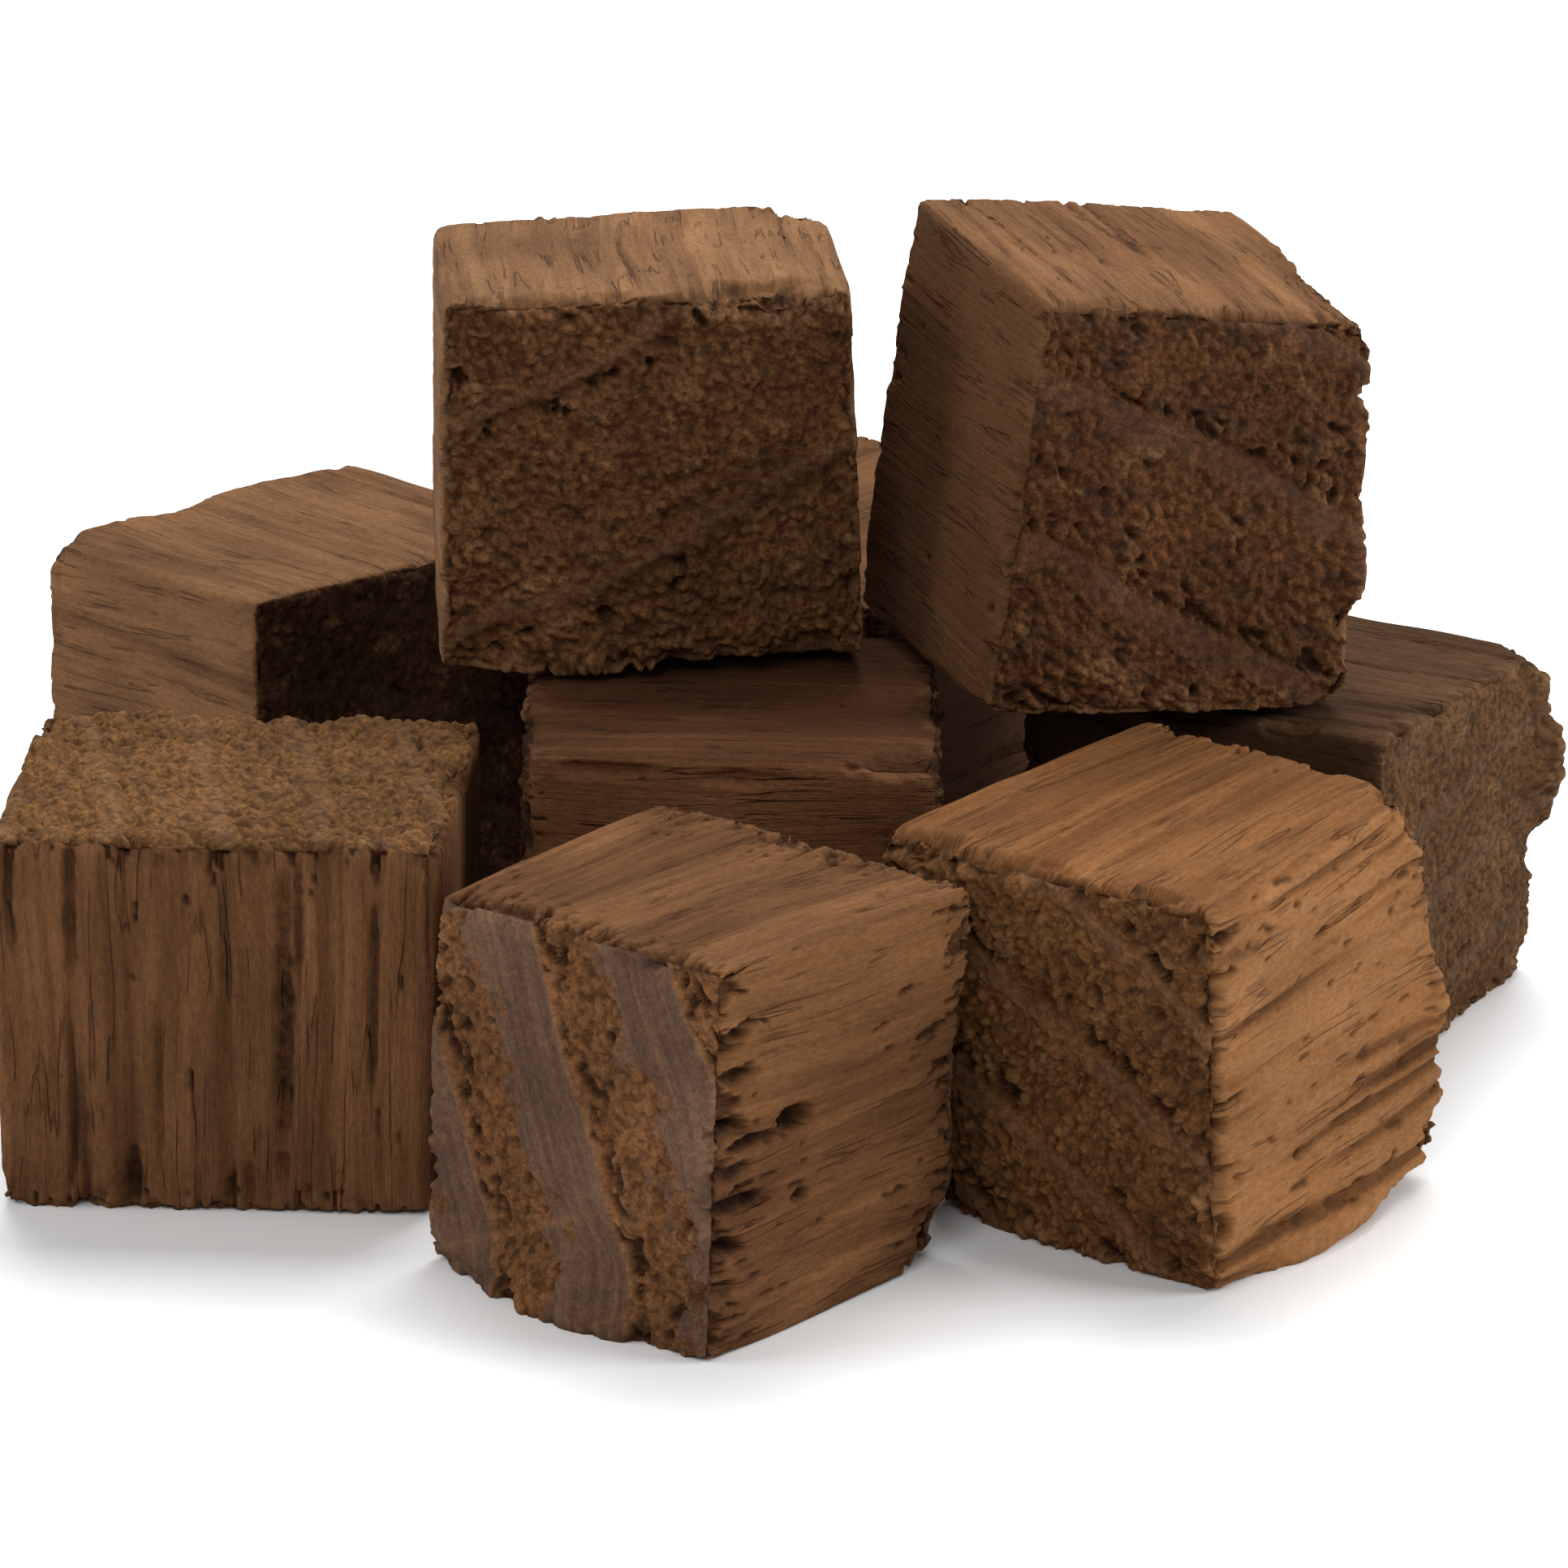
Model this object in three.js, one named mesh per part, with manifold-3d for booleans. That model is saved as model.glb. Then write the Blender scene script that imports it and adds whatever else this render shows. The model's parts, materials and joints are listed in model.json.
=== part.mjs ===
// A low heap of nine loose toasted oak cubes, about 12 mm each: seven stand on the table and
// two lie on top of them. Millimetres, +Z up, origin on the table under the middle of the heap.
//
// Every cube is its own sawn block, so none is quite square. A cube has its width (along its own
// x), depth (y) and height (z), the place of its middle on the table, the angle it is turned by,
// and the pulls that take its corners out of square. The two upper cubes also lean, and say how
// high their middle is; the others stand flat on the table.

import * as THREE from "three";
import { RoundedBoxGeometry } from "three/addons/geometries/RoundedBoxGeometry.js";
import { mergeVertices } from "three/addons/utils/BufferGeometryUtils.js";
import Module from "manifold-3d";

const wasm = await Module();
wasm.setup();

// Driving dimensions
const EDGE_ROUND = 0.45; // worn radius of every sawn edge
const EDGE_STEPS = 2; // facets across a worn edge
const WOOD_ROUGHNESS = 0.85;
const TURN_OF_CHIP = 0.7; // radians that each next chip is turned by, so that no two look alike

// Corner names are left or right, front or back, low or high, in the cube's own axes.
const CORNER_SIGNS = {
  left_front_low: [-1, -1, -1],
  right_front_low: [1, -1, -1],
  left_back_low: [-1, 1, -1],
  right_back_low: [1, 1, -1],
  left_front_high: [-1, -1, 1],
  right_front_high: [1, -1, 1],
  left_back_high: [-1, 1, 1],
  right_back_high: [1, 1, 1],
};

// A chip is a small faceted lump cut out of an edge: its middle is given as a share of the cube's
// half width, half depth and half height, and its size is a radius.
const CUBES = [
  {
    name: "center_cube",
    size: [12.6, 12.0, 12.3],
    place: [-1.7, -1.3],
    turn: 0,
    color: "#5f4231",
    pulls: { left_front_high: [0, 0, 0.2], right_front_high: [0, 0, -0.2] },
    chips: [{ at: [0.72, -1.04, 1.02], radius: 0.8 }],
  },
  {
    name: "front_center_cube",
    size: [11.7, 11.0, 11.8],
    place: [-2.8, -17.4],
    turn: -42,
    color: "#6b4a36",
    pulls: {
      left_front_high: [0.4, 0.4, -0.2],
      right_front_high: [0.1, 0.2, 0.2],
      right_back_high: [0.3, 0.2, -0.1],
      left_back_high: [-0.2, -0.2, 0],
      right_front_low: [0, -0.4, 0],
      right_back_low: [-0.4, -0.3, 0],
    },
    chips: [
      { at: [1.04, -0.55, 0.1], radius: 0.7 },
      { at: [1.04, 1.0, -1.04], radius: 1.5 },
    ],
  },
  {
    name: "front_left_cube",
    size: [13.2, 11.9, 11.8],
    place: [-16.8, -7.6],
    turn: -4,
    color: "#6e4c35",
    pulls: {
      right_back_high: [0.3, 0, 0],
      left_back_high: [-0.2, 0, 0],
      right_front_high: [0.2, 0, 0],
      right_front_low: [-0.2, 0, 0],
    },
    chips: [{ at: [1.03, 0.35, 1.03], radius: 0.6 }],
  },
  {
    name: "front_right_cube",
    size: [11.8, 12.4, 12.0],
    place: [11.5, -11.8],
    turn: -38,
    color: "#80583b",
    pulls: {
      left_front_high: [-0.6, -0.1, -0.1],
      right_front_high: [0, 0, -0.1],
      right_back_high: [-1.1, -0.4, 0.2],
      left_back_high: [-0.1, 1.1, 0],
      left_front_low: [0.9, 0.6, 0],
      right_front_low: [0.3, 0.1, 0],
      right_back_low: [0.2, 0.2, 0],
    },
    chips: [
      { at: [-1.05, -1.05, -1.0], radius: 1.5 },
      { at: [-0.5, -1.05, 1.02], radius: 0.7 },
      { at: [1.04, 1.02, -1.04], radius: 1.6 },
    ],
  },
  {
    name: "back_right_cube",
    size: [12.2, 12.2, 11.3],
    place: [15.6, 5.2],
    turn: -26,
    color: "#5c4535",
    pulls: {
      right_front_high: [0.1, 0.1, 0.1],
      right_back_high: [0.7, 0.2, -0.5],
      right_back_low: [0.3, 0.1, 0],
    },
    chips: [{ at: [1.03, 0.6, 1.04], radius: 0.7 }],
  },
  {
    name: "back_left_cube",
    size: [11.4, 12.6, 12.0],
    place: [-16.0, 16.8],
    turn: -49,
    color: "#6b4c38",
    pulls: {
      left_front_high: [0.1, 0, -0.3],
      right_front_high: [0, 0, 0.2],
      left_back_high: [0.1, 0.1, -0.1],
    },
    chips: [{ at: [-1.04, -0.35, 1.04], radius: 0.6 }],
  },
  {
    name: "back_center_cube",
    size: [11.8, 11.8, 11.8],
    place: [2.6, 17.3],
    turn: -44,
    color: "#664733",
    pulls: { left_back_high: [-0.4, 0.4, 0.9], right_back_high: [-0.2, 0, 0] },
    chips: [{ at: [0.3, 1.04, 1.03], radius: 0.7 }],
  },
  {
    name: "top_left_cube",
    size: [12.6, 11.9, 11.7],
    place: [-4.7, 6.2],
    height_of_middle: 18.4,
    turn: 4.3,
    lean: [-4, -0.7],
    color: "#735139",
    pulls: {
      left_front_low: [-0.3, 0, 0.1],
      right_front_low: [0.3, 0, 0.1],
      left_back_high: [0.2, 0, 0],
      right_back_high: [0, 0, 0.5],
    },
    chips: [{ at: [0.72, -1.04, -1.02], radius: 0.8 }],
  },
  {
    name: "top_right_cube",
    size: [11.2, 12.0, 12.8],
    place: [10.4, 3.5],
    height_of_middle: 18.7,
    turn: 20,
    lean: [-1.7, 6],
    color: "#6a4631",
    pulls: {
      left_front_high: [0.1, 0, 0.1],
      left_back_high: [0.2, 0, 0.3],
      right_back_high: [0, 0, 0.1],
      right_front_high: [-0.2, 0, -0.4],
      left_front_low: [-0.3, 0, -0.2],
      left_back_low: [-0.2, 0, -0.35],
      right_front_low: [0.6, 0, 0],
      right_back_low: [0.3, 0, 0],
    },
    chips: [
      { at: [1.03, -0.95, -0.8], radius: 0.8 },
      { at: [1.03, -0.8, 1.08], radius: 1.3 },
    ],
  },
];

// Moves each point of a square block by its share of the eight corners' pulls.
function pullCorners(geometry, size, pulls) {
  const position = geometry.attributes.position;
  const point = new THREE.Vector3();
  const shift = new THREE.Vector3();
  for (let i = 0; i < position.count; i++) {
    point.fromBufferAttribute(position, i);
    const share = [0, 1, 2].map((axis) => point.getComponent(axis) / size[axis]);
    for (const [corner, pull] of Object.entries(pulls)) {
      const weights = CORNER_SIGNS[corner].map((sign, axis) => 0.5 + sign * share[axis]);
      shift.fromArray(pull).multiplyScalar(weights[0] * weights[1] * weights[2]);
      point.add(shift);
    }
    position.setXYZ(i, point.x, point.y, point.z);
  }
}

function toSolid(geometry) {
  const bare = geometry.clone();
  bare.deleteAttribute("normal");
  bare.deleteAttribute("uv");
  const merged = mergeVertices(bare);
  const vertProperties = new Float32Array(merged.attributes.position.array);
  const triVerts = new Uint32Array(merged.index.array);
  return new wasm.Manifold(new wasm.Mesh({ numProp: 3, vertProperties, triVerts }));
}

function toGeometry(solid) {
  const mesh = solid.getMesh();
  const geometry = new THREE.BufferGeometry();
  geometry.setAttribute("position", new THREE.BufferAttribute(mesh.vertProperties, 3));
  geometry.setIndex(new THREE.BufferAttribute(mesh.triVerts, 1));
  geometry.computeVertexNormals();
  return geometry;
}

function chipSolid(chip, size, count) {
  const lump = new THREE.DodecahedronGeometry(chip.radius);
  lump.rotateX(TURN_OF_CHIP * (count + 1));
  lump.rotateZ(TURN_OF_CHIP * (count + 2));
  lump.translate(...chip.at.map((part, axis) => (part * size[axis]) / 2));
  return toSolid(lump);
}

// One cube: a block with worn edges, its corners pulled out of square and its chips cut away.
function cubeGeometry(cube) {
  const block = new RoundedBoxGeometry(...cube.size, EDGE_STEPS, EDGE_ROUND);
  pullCorners(block, cube.size, cube.pulls);
  let solid = toSolid(block);
  cube.chips.forEach((chip, count) => {
    solid = solid.subtract(chipSolid(chip, cube.size, count));
  });
  return toGeometry(solid);
}

function cubeMesh(cube) {
  const finish = { color: cube.color, roughness: WOOD_ROUGHNESS, metalness: 0 };
  const material = new THREE.MeshStandardMaterial(finish);
  const mesh = new THREE.Mesh(cubeGeometry(cube), material);
  const [leanX, leanY] = cube.lean ?? [0, 0];
  const middle = cube.height_of_middle ?? cube.size[2] / 2;
  mesh.name = cube.name;
  mesh.position.set(...cube.place, middle);
  mesh.rotation.set(...[leanX, leanY, cube.turn].map(THREE.MathUtils.degToRad));
  return mesh;
}

const group = new THREE.Group();
for (const cube of CUBES) {
  group.add(cubeMesh(cube));
}

export default group;
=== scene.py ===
"""The looks of the heap of toasted oak cubes.

Every cube is rebuilt from its CAD solid: the solid's eight corners carry a fine grid, which is
then shaped as sawn oak, with growth rings, crumbling end grain, streaked side grain, torn
fibres and chipped edges. The same wood model gives each point the values that its material is
coloured by, and these hold painted shade in the hollows, painted highlight on raised places and
painted light and shade on whole faces as well as the wood's own colour.

Lengths inside the wood model are in millimetres. Blender's own lengths are in metres.
"""

import json
import math

import bpy
import numpy as np
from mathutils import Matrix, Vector


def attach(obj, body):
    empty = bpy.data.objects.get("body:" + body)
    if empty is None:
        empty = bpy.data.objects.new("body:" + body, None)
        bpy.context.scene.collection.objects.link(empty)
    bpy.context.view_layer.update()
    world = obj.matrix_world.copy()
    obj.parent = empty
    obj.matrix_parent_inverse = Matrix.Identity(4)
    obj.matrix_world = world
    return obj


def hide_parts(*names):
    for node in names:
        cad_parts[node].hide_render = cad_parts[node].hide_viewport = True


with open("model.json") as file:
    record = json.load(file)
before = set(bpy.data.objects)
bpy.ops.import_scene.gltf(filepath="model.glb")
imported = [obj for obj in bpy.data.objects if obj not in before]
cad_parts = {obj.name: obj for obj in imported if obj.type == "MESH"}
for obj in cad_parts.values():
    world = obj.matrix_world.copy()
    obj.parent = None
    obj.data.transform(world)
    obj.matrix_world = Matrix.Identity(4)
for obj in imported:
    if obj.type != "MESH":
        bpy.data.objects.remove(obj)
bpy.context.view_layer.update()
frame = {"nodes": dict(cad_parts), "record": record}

MM = 0.001

# Camera, from the angle that the heap is seen at
CAMERA_ELEVATION = math.radians(19.1)
CAMERA_DISTANCE = 0.2867
CAMERA_LENS = 210
CAMERA_SENSOR = 36
CAMERA_AIM = Vector((-0.0001, 0.0, 0.0090))

# The grid that each cube is made of
GRID = 128  # steps along each edge
EDGE_ROUND = 0.32  # usual radius of a worn edge
CORNER_REACH = 0.9  # how far round a corner its CAD points lie
CROWDING = 0.15  # how much closer together the grid runs near the edges

# Oak, in millimetres
RING_CENTRE_DISTANCE = 60.0
LUMP_SIZE = 0.42  # grains of the crumbling end grain
EDGE_ZONE = 0.5  # how far an edge's own damage reaches
OUTSET = 0.07  # how far the wood between the pits stands out from the CAD solid
LUMP_HEIGHT = 0.12
END_WAVE = 0.11  # coarse unevenness of the end grain
PIT_DEPTH = 0.26
RING_LINE_DEPTH = 0.07
SIDE_RIDGE = 0.024
SIDE_FINE = 0.014
GROOVE_DEPTH = 0.16
COMB_HEIGHT = 0.16  # of the ridges on a combed face
COMB_HOLE_DEPTH = 0.10
TEAR_DEPTH = 0.26
BREAK_DEPTH = 0.55  # of the pieces that are broken off the end grain's edges
CORNER_WEAR = 0.15

# One entry per cube. grain is the cube's own axis that the fibres run along. ring_angle is the
# direction that the tree grew in, in degrees, seen along the grain, and the rings are
# ring_spacing apart. bands is how grey and smooth the late wood is, lines how dark the line at
# the end of each ring is, and pits the share of the end grain that has crumbled away. relief,
# torn, tears, ridges and wave are factors of the usual heights, and grooves and patches say how
# much of the side grain is open and of the end grain bluish. far_end is how damaged the edges
# of the end away from the grain's start are, late_from is the share of a ring after which its
# late wood starts, and tear_reach is how far from the end grain fibres are torn. The end and side
# tints scale the colours of the end grain and the side grain, and hold painted shade as well as
# the cube's own colour: they are darker on cubes whose faces lie in shadow. The list of
# directions is painted light and shade on whole faces: each entry gives a direction in the cube's
# own axes and how much lighter or darker the faces that look that way are painted, for how the
# lamps and the other cubes light them. A dent has its middle as a share of the half sizes, its
# three radii and its depth, and one with a depth below zero stands out.
CUBES = {
    "center_cube": dict(
        seed=11, grain="x", ring_angle=75, ring_spacing=3.4, ring_shift=0.2,
        bands=0.2, lines=0.3, pits=0.06, relief=1.3, torn=0.4, tears=0.3, grooves=0.0,
        end_tint_and_shade=(0.5, 0.46, 0.44), side_tint_and_shade=(0.60, 0.51, 0.48),
        # painted light on the front face, and painted shade on the top, which lies under the top left cube
        painted_face_shading=[((0, -1, 0), 0.5), ((0, 0, 1), -0.3)],
        dents=[
            ((0.80, -1.0, 1.0), (1.9, 1.0, 0.6), 0.40), ((-0.60, -1.0, 0.93), (2.2, 0.5, 0.35), 0.22),
            ((0.05, -1.0, 0.90), (1.9, 0.5, 0.3), 0.18), ((0.76, -1.0, 0.2), (0.14, 0.4, 4.0), 0.25),
        ],
    ),
    "front_center_cube": dict(
        seed=23, grain="y", ring_angle=23, ring_spacing=5.2, ring_shift=0.83,
        late_from=0.44, bands=1.0, lines=0.35, pits=0.15, relief=1.1, torn=0.8, tears=1.2, grooves=-0.3,
        tear_reach=1.5, end_tint_and_shade=(1.42, 1.30, 1.21), side_tint_and_shade=(0.87, 0.79, 0.70),
        dents=[
            ((1.0, -0.38, 0.12), (0.6, 1.0, 0.45), 0.85), ((1.0, -0.66, 0.08), (0.6, 1.8, 0.28), 0.5),
            ((1.0, -0.84, 0.44), (0.6, 1.0, 0.35), 0.55), ((1.0, -0.80, -0.22), (0.6, 1.6, 0.32), 0.6),
            ((1.0, -0.30, -0.30), (0.4, 0.5, 0.26), 0.5), ((1.0, -0.95, -0.66), (0.9, 1.0, 0.6), 0.55),
            ((1.0, -0.90, 0.20), (0.5, 0.9, 0.40), 0.6), ((1.0, -0.88, -0.42), (0.5, 0.9, 0.32), 0.6),
            ((1.0, -0.86, -0.04), (0.5, 1.1, 0.26), 0.6), ((1.0, -0.88, 0.66), (0.5, 0.8, 0.28), 0.5),
            ((1.0, 0.98, 0.05), (0.7, 0.5, 3.4), 0.2), ((0.55, -1.0, 0.96), (0.6, 0.6, 0.35), 0.35),
            ((1.0, 1.0, -1.0), (1.8, 2.2, 2.4), 0.7), ((0.0, -1.0, -1.0), (5.4, 1.6, 2.6), -0.9),
        ],
    ),
    "front_left_cube": dict(
        seed=37, grain="z", ring_angle=12, ring_spacing=3.1, ring_shift=0.1,
        bands=0.25, lines=0.25, pits=0.05, relief=1.3, torn=0.9, tears=0.8, grooves=0.3, patches=0.45,
        end_tint_and_shade=(1.45, 1.42, 1.24), side_tint_and_shade=(0.77, 0.70, 0.65),
        dents=[
            ((1.0, 0.1, 1.0), (0.8, 1.2, 0.7), 0.5), ((0.96, -1.0, 1.0), (1.0, 0.8, 1.0), 0.35),
            ((-0.65, -1.0, 0.66), (0.26, 0.5, 3.0), 0.33), ((-0.66, -1.0, -0.35), (0.18, 0.4, 3.4), 0.22),
            ((0.32, -1.0, 0.05), (0.38, 0.5, 6.6), 0.46), ((0.38, -1.0, 0.62), (0.24, 0.5, 2.6), 0.32),
            ((0.73, -1.0, 0.30), (0.17, 0.4, 4.6), 0.25), ((0.06, -1.0, 0.40), (0.20, 0.4, 3.6), 0.15),
            ((-0.26, -1.0, -0.30), (0.20, 0.4, 3.2), 0.24), ((-0.38, -1.0, -0.84), (0.32, 0.5, 1.3), 0.40),
            ((0.19, -1.0, 0.93), (0.2, 0.5, 0.6), 0.25), ((-0.43, -1.0, 0.94), (0.2, 0.5, 0.6), 0.25),
            ((0.16, -1.0, -0.86), (0.24, 0.5, 1.3), 0.28), ((-0.93, -1.0, 0.62), (0.2, 0.4, 2.2), 0.20),
        ],
    ),
    "front_right_cube": dict(
        seed=41, grain="y", ring_angle=60, ring_spacing=3.8, ring_shift=0.6,
        bands=0.4, lines=0.5, pits=0.10, relief=1.6, torn=1.1, tears=0.8, grooves=-0.1, ridges=1.0,
        # painted light on the right face, which faces the right lamp
        end_tint_and_shade=(1.20, 1.08, 0.91), side_tint_and_shade=(1.18, 1.03, 0.82), painted_face_shading=[((1, 0, 0), 0.35)],
        dents=[
            ((-1.0, -1.0, -1.0), (2.0, 2.0, 1.8), 0.8), ((-0.75, -1.0, 0.98), (1.9, 1.4, 0.7), 0.65),
            ((-0.2, -1.0, 1.0), (2.6, 1.1, 0.8), 0.6), ((0.6, -1.0, 1.0), (1.6, 1.2, 0.8), 0.6),
            ((-0.5, -0.98, 0.98), (0.5, 0.6, 0.3), 0.5), ((0.1, -0.98, 0.98), (0.6, 0.6, 0.3), 0.5),
            ((1.0, -1.0, -0.4), (0.8, 0.7, 1.3), 0.5), ((1.0, -1.0, 0.55), (0.7, 0.6, 1.0), 0.45),
            ((1.0, -1.0, 0.12), (0.4, 0.5, 0.5), 0.4), ((1.0, -0.9, 0.86), (0.4, 0.6, 0.3), 0.5),
            ((1.0, -0.93, -0.66), (0.5, 0.4, 0.5), 0.55), ((1.0, -0.96, -0.1), (0.4, 0.4, 0.3), 0.45),
            ((1.0, -0.3, -0.5), (0.4, 0.3, 0.3), 0.5), ((1.0, 1.0, 1.0), (1.8, 1.8, 1.6), 0.5),
            ((1.0, 1.0, -1.0), (1.6, 1.8, 2.0), 0.7), ((1.0, 1.0, -0.15), (1.0, 1.0, 2.0), -0.45),
            ((1.0, -0.1, -1.0), (1.8, 5.0, 1.5), -0.6),
        ],
    ),
    "back_right_cube": dict(
        seed=59, grain="x", ring_angle=100, ring_spacing=3.2, ring_shift=0.0,
        bands=0.25, lines=0.25, pits=0.04, relief=0.7, torn=0.9, tears=0.5, grooves=0.6, wave=1.0,
        # painted shade on the front, which lies in shadow under the top right cube; the side grain colour is
        # darkened too, partly as painted shade for the same face
        end_tint_and_shade=(0.96, 0.99, 1.02), side_tint_and_shade=(0.41, 0.42, 0.44), painted_face_shading=[((0, -1, 0), -0.8)],
        dents=[
            ((1.0, 1.0, 0.30), (2.0, 2.0, 2.8), -0.8), ((1.0, 1.0, -0.28), (0.9, 1.0, 0.7), 0.35),
            ((1.0, 1.0, 0.98), (1.6, 1.5, 0.9), 0.7), ((1.0, 1.0, -1.0), (1.0, 1.2, 1.2), 0.5),
            ((-0.1, -1.0, 1.0), (2.6, 0.8, 0.5), 0.5), ((0.45, -1.0, 1.0), (1.2, 0.8, 0.5), 0.45),
        ],
    ),
    "back_left_cube": dict(
        seed=61, grain="x", ring_angle=70, ring_spacing=2.9, ring_shift=0.4,
        bands=0.3, lines=0.3, pits=0.06, relief=0.9, torn=0.5, tears=0.3, grooves=-0.1,
        # the end grain colour is darkened as painted shade, for the right end face that lies in deep shadow
        # between the cubes
        end_tint_and_shade=(0.38, 0.33, 0.32), side_tint_and_shade=(0.93, 0.93, 0.94),
        dents=[((-1.0, -0.2, 1.0), (1.0, 1.8, 0.7), 0.3), ((-1.0, -1.0, 1.0), (1.6, 1.6, 1.2), 0.3)],
    ),
    "back_center_cube": dict(
        seed=73, grain="y", ring_angle=35, ring_spacing=3.0, ring_shift=0.7,
        bands=0.5, lines=0.5, pits=0.07, relief=1.0, torn=0.8, tears=0.6, grooves=0.1,
        # painted shade on the face towards its own +x, which is seen in shadow through the gap between the
        # middle cubes
        end_tint_and_shade=(0.95, 0.90, 0.84), side_tint_and_shade=(0.84, 0.80, 0.76), painted_face_shading=[((1, 0, 0), -1.1)],
        dents=[((0.3, 1.0, 1.0), (1.6, 0.8, 0.8), 0.4)],
    ),
    "top_left_cube": dict(
        seed=83, grain="y", far_end=0.3, ring_angle=-62, ring_spacing=6.56, ring_shift=0.604,
        late_from=0.84, bands=0.35, lines=1.0, pits=0.06, relief=2.0, torn=0.9, tears=0.4, grooves=-0.1,
        end_tint_and_shade=(1.04, 0.96, 0.92), side_tint_and_shade=(1.14, 1.17, 1.21),
        dents=[
            ((-0.9, -1.0, -1.0), (0.8, 0.5, 0.5), 0.3), ((-0.5, -1.0, 1.0), (2.4, 0.9, 0.5), 0.45),
            ((0.52, -1.0, 1.0), (2.6, 2.2, 0.9), 0.75), ((-0.15, -0.96, 1.0), (0.7, 0.5, 0.3), 0.3),
            ((1.0, 1.0, 1.0), (2.6, 3.2, 1.8), 0.55), ((1.0, -1.0, -0.62), (0.9, 1.2, 0.7), 0.5),
            ((0.1, -1.0, -1.0), (0.7, 0.9, 0.5), 0.5), ((0.36, -1.0, -1.0), (0.6, 0.8, 0.5), 0.5),
            ((0.75, -1.0, -1.0), (1.6, 1.0, 0.9), 0.55), ((-0.25, -1.0, -1.0), (4.8, 1.2, 1.0), -0.35),
        ],
    ),
    "top_right_cube": dict(
        seed=97, grain="y", far_end=0.3, ring_angle=65, ring_spacing=5.0, ring_shift=0.55,
        bands=0.4, lines=0.5, pits=0.11, relief=1.15, torn=0.9, tears=0.5, grooves=0.1, patches=0.7,
        # painted shade on the left face, which lies in the shadow of the top left cube
        end_tint_and_shade=(0.85, 0.73, 0.68), side_tint_and_shade=(1.00, 0.97, 0.94), painted_face_shading=[((-1, 0, 0), -0.9)],
        dents=[
            ((1.0, -1.0, -0.25), (1.0, 1.0, 3.0), -0.3),
            ((1.0, -1.0, -0.55), (0.8, 0.9, 0.8), 0.6), ((1.0, -0.5, 1.0), (1.8, 6.0, 1.8), 0.35),
            ((1.0, -1.0, 1.0), (1.5, 1.7, 1.3), 0.5),
            ((1.0, -1.0, 0.62), (0.8, 0.9, 0.5), 0.6), ((0.25, -1.0, 1.0), (2.4, 0.7, 0.5), 0.5),
            ((-0.85, -1.0, 1.0), (0.9, 0.7, 0.5), 0.4), ((1.0, -1.0, -1.0), (1.2, 1.2, 1.0), 0.5),
        ],
    ),
}

# Oak's colours, linear
END_LIGHT = (0.152, 0.074, 0.029)
END_DARK = (0.070, 0.031, 0.0125)
BAND_LIGHT = (0.082, 0.051, 0.035)
BAND_DARK = (0.054, 0.033, 0.0235)
SIDE_LIGHT = (0.212, 0.105, 0.046)
SIDE_DARK = (0.106, 0.049, 0.021)
# pale tips of broken fibres, also used as painted highlight on raised end grain and comb ridges
PALE_TIP_AND_HIGHLIGHT = (0.255, 0.132, 0.060)
RAY = (0.185, 0.092, 0.038)
SLIT = (0.045, 0.018, 0.010)
# near black, painted as shade into pits, tears, open grooves, dents and broken edges
PAINTED_HOLLOW_SHADE = (0.014, 0.005, 0.003)

WOOD_ROUGHNESS = 0.9
WOOD_SHINE = 0.08
BUMP_HEIGHT = 0.00014  # metres, of the relief that is too fine for the grid

# Studio. Each light has its place, the side of its square and its power in watts.
LIGHT_AIM = (0, 0, 0.01)
LIGHTS = {
    "top": ((0.02, 0.24, 0.40), 0.30, 2.6),
    "right": ((0.44, -0.06, 0.20), 0.25, 1.6),
    "left": ((-0.42, -0.05, 0.22), 0.25, 0.75),
    "front": ((-0.08, -0.38, 0.34), 0.25, 0.80),
}
SKY_STRENGTH = 0.26
FLOOR_SIZE = 4.0
FLOOR_COLOUR = (0.92, 0.92, 0.92)
FLOOR_ROUGHNESS = 0.9

AXIS = {"x": 0, "y": 1, "z": 2}


# ---------------------------------------------------------------- repeatable noise

LATTICE = 64  # the noise repeats after this many units, a power of two
SEED_SHIFT = np.array([12.99, 7.23, 3.71], np.float32)
LATTICE_VECTORS = np.random.default_rng(20).uniform(-1, 1, (LATTICE**3, 3)).astype(np.float32)


def lattice_cells(points, seed, reach):
    """Where each point is in its cell, and for each axis the indices of the cells within reach."""
    points = points.astype(np.float32) + seed * SEED_SHIFT
    base = np.floor(points)
    whole = base.astype(np.int32)
    strides = (LATTICE * LATTICE, LATTICE, 1)
    cells = []
    for axis in range(3):
        cells.append({step: ((whole[:, axis] + step) % LATTICE) * strides[axis] for step in reach})
    return points - base, cells


def noise(points, seed):
    """Smooth noise of about -1 to 1, with features one unit across."""
    part, cells = lattice_cells(points, seed, (0, 1))
    ease = part**3 * (part * (part * 6 - 15) + 10)
    total = np.zeros(len(points), np.float32)
    for step in np.ndindex(2, 2, 2):
        vector = LATTICE_VECTORS[cells[0][step[0]] + cells[1][step[1]] + cells[2][step[2]]]
        pull = 0
        weight = 1
        for axis, one in enumerate(step):
            pull = pull + vector[:, axis] * (part[:, axis] - one)
            weight = weight * (ease[:, axis] if one else 1 - ease[:, axis])
        total += pull * weight
    return total * 1.6


def layered(points, seed, octaves=3, fade=0.5):
    """Noise with finer and finer layers."""
    total = np.zeros(len(points), np.float32)
    size = 1.0
    for octave in range(octaves):
        total += size * noise(points * 2.0**octave, seed + 31 * octave)
        size *= fade
    return total


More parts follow.
